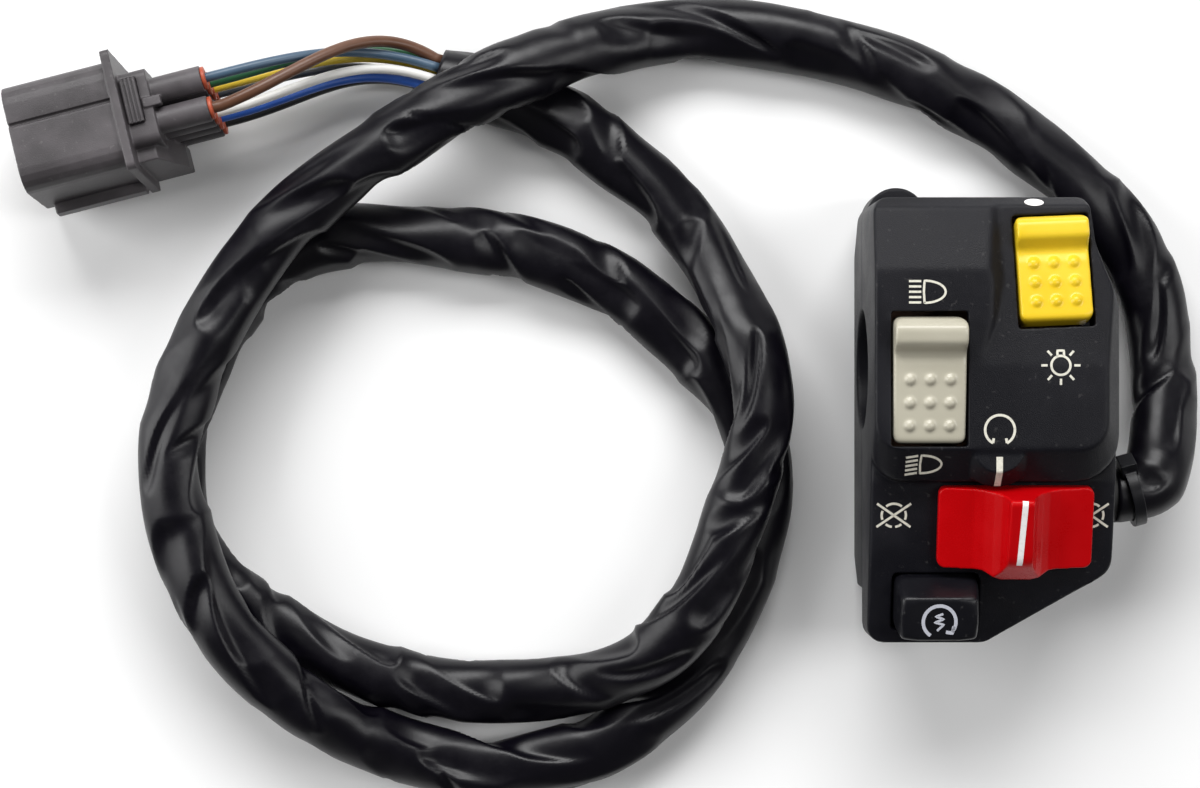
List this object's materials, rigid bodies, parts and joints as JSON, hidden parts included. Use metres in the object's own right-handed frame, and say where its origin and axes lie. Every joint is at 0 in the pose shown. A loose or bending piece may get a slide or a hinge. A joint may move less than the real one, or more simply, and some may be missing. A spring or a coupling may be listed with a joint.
{
  "type": "handlebar switch cluster",
  "caption": "Clamp-on handlebar switch cluster with two rockers, an engine stop slide, a start button and a sleeved harness that ends in a sealed connector.",
  "frame": {"origin": "centre of the handlebar bore, halfway along the housing", "axes": "X along the handlebar, Y up the switch face, Z out of the switch face; it lies on its flat back"},
  "size_m": [0.2229, 0.1509, 0.0459],
  "materials": {
    "housing": "fine textured black",
    "steel": "zinc plated",
    "board": "phenolic board",
    "contact": "bare",
    "cream": "satin",
    "yellow": "satin",
    "red": "gloss",
    "button": "satin black",
    "grommet": "matte",
    "sleeve": "glossy vinyl",
    "wire_brown": "satin",
    "wire_yellow": "satin",
    "wire_grey": "satin",
    "wire_white": "satin",
    "wire_blue": "satin",
    "wire_black": "satin",
    "wire_sky": "satin",
    "wire_green": "satin",
    "connector": "matte grey",
    "seal": "satin"
  },
  "bodies": {
    "housing": {"front_housing": "housing", "rear_housing": "housing", "clamp_screws": "steel", "contact_board": "board", "board_screws": "steel", "dimmer_pivot_pins": "steel", "dimmer_terminals": "contact", "light_pivot_pins": "steel", "light_terminals": "contact", "stop_contact_base": "board", "stop_terminals": "contact", "start_return_spring": "steel", "start_contact_base": "board", "start_terminals": "contact", "cable_grommet": "grommet", "cable_tie": "button", "harness_sleeve": "sleeve", "wire_brown": "wire_brown", "wire_yellow": "wire_yellow", "wire_grey": "wire_grey", "wire_white": "wire_white", "wire_blue": "wire_blue", "wire_black": "wire_black", "wire_sky": "wire_sky", "wire_green": "wire_green", "connector_housing": "connector", "connector_retainer": "connector", "connector_terminals": "contact", "connector_wire_seals": "seal"},
    "dimmer": {"dimmer_rocker": "cream", "dimmer_plunger": "contact", "dimmer_plunger_spring": "steel"},
    "dimmer_bridge": {"dimmer_contact_bridge": "contact"},
    "light": {"light_rocker": "yellow", "light_plunger": "contact", "light_plunger_spring": "steel"},
    "light_bridge": {"light_contact_bridge": "contact"},
    "stop": {"stop_slide": "red", "stop_carrier": "button", "stop_carrier_screw": "steel", "stop_detent_ball": "steel", "stop_detent_spring": "steel", "stop_moving_contact": "contact"},
    "start": {"start_button": "button", "start_moving_contact": "contact"}
  },
  "joints": [
    {"name": "dimmer_tilt", "type": "hinge", "parent": "housing", "child": "dimmer", "pos_m": [-0.0124, -0.0019, 0.021], "axis": [1, 0, 0], "range_deg": [-11, 0]},
    {"name": "dimmer_bridge_tilt", "type": "hinge", "parent": "housing", "child": "dimmer_bridge", "pos_m": [-0.0124, -0.0019, 0.01675], "axis": [1, 0, 0], "range_deg": [-0.1, 5.05]},
    {"name": "light_tilt", "type": "hinge", "parent": "housing", "child": "light", "pos_m": [0.01, 0.01694, 0.01865], "axis": [0.999, 0.0432, -0.0061], "range_deg": [0, 11]},
    {"name": "light_bridge_tilt", "type": "hinge", "parent": "housing", "child": "light_bridge", "pos_m": [0.01, 0.01635, 0.01444], "axis": [0.999, 0.0432, -0.0061], "range_deg": [-5.05, 0.1]},
    {"name": "stop_travel", "type": "slide", "parent": "housing", "child": "stop", "axis": [1, 0, 0], "range_m": [-0.0078, 0]},
    {"name": "start_push", "type": "slide", "parent": "housing", "child": "start", "axis": [0, 0.2588, -0.9659], "range_m": [0, 0.002], "stiffness_N_per_m": 300, "springref_m": -0.004, "deforming": ["start_return_spring"]}
  ],
  "couplings": [
    {"joint": "dimmer_bridge_tilt", "follows": "dimmer_tilt", "ratio": -0.45},
    {"joint": "light_bridge_tilt", "follows": "light_tilt", "ratio": -0.45}
  ]
}
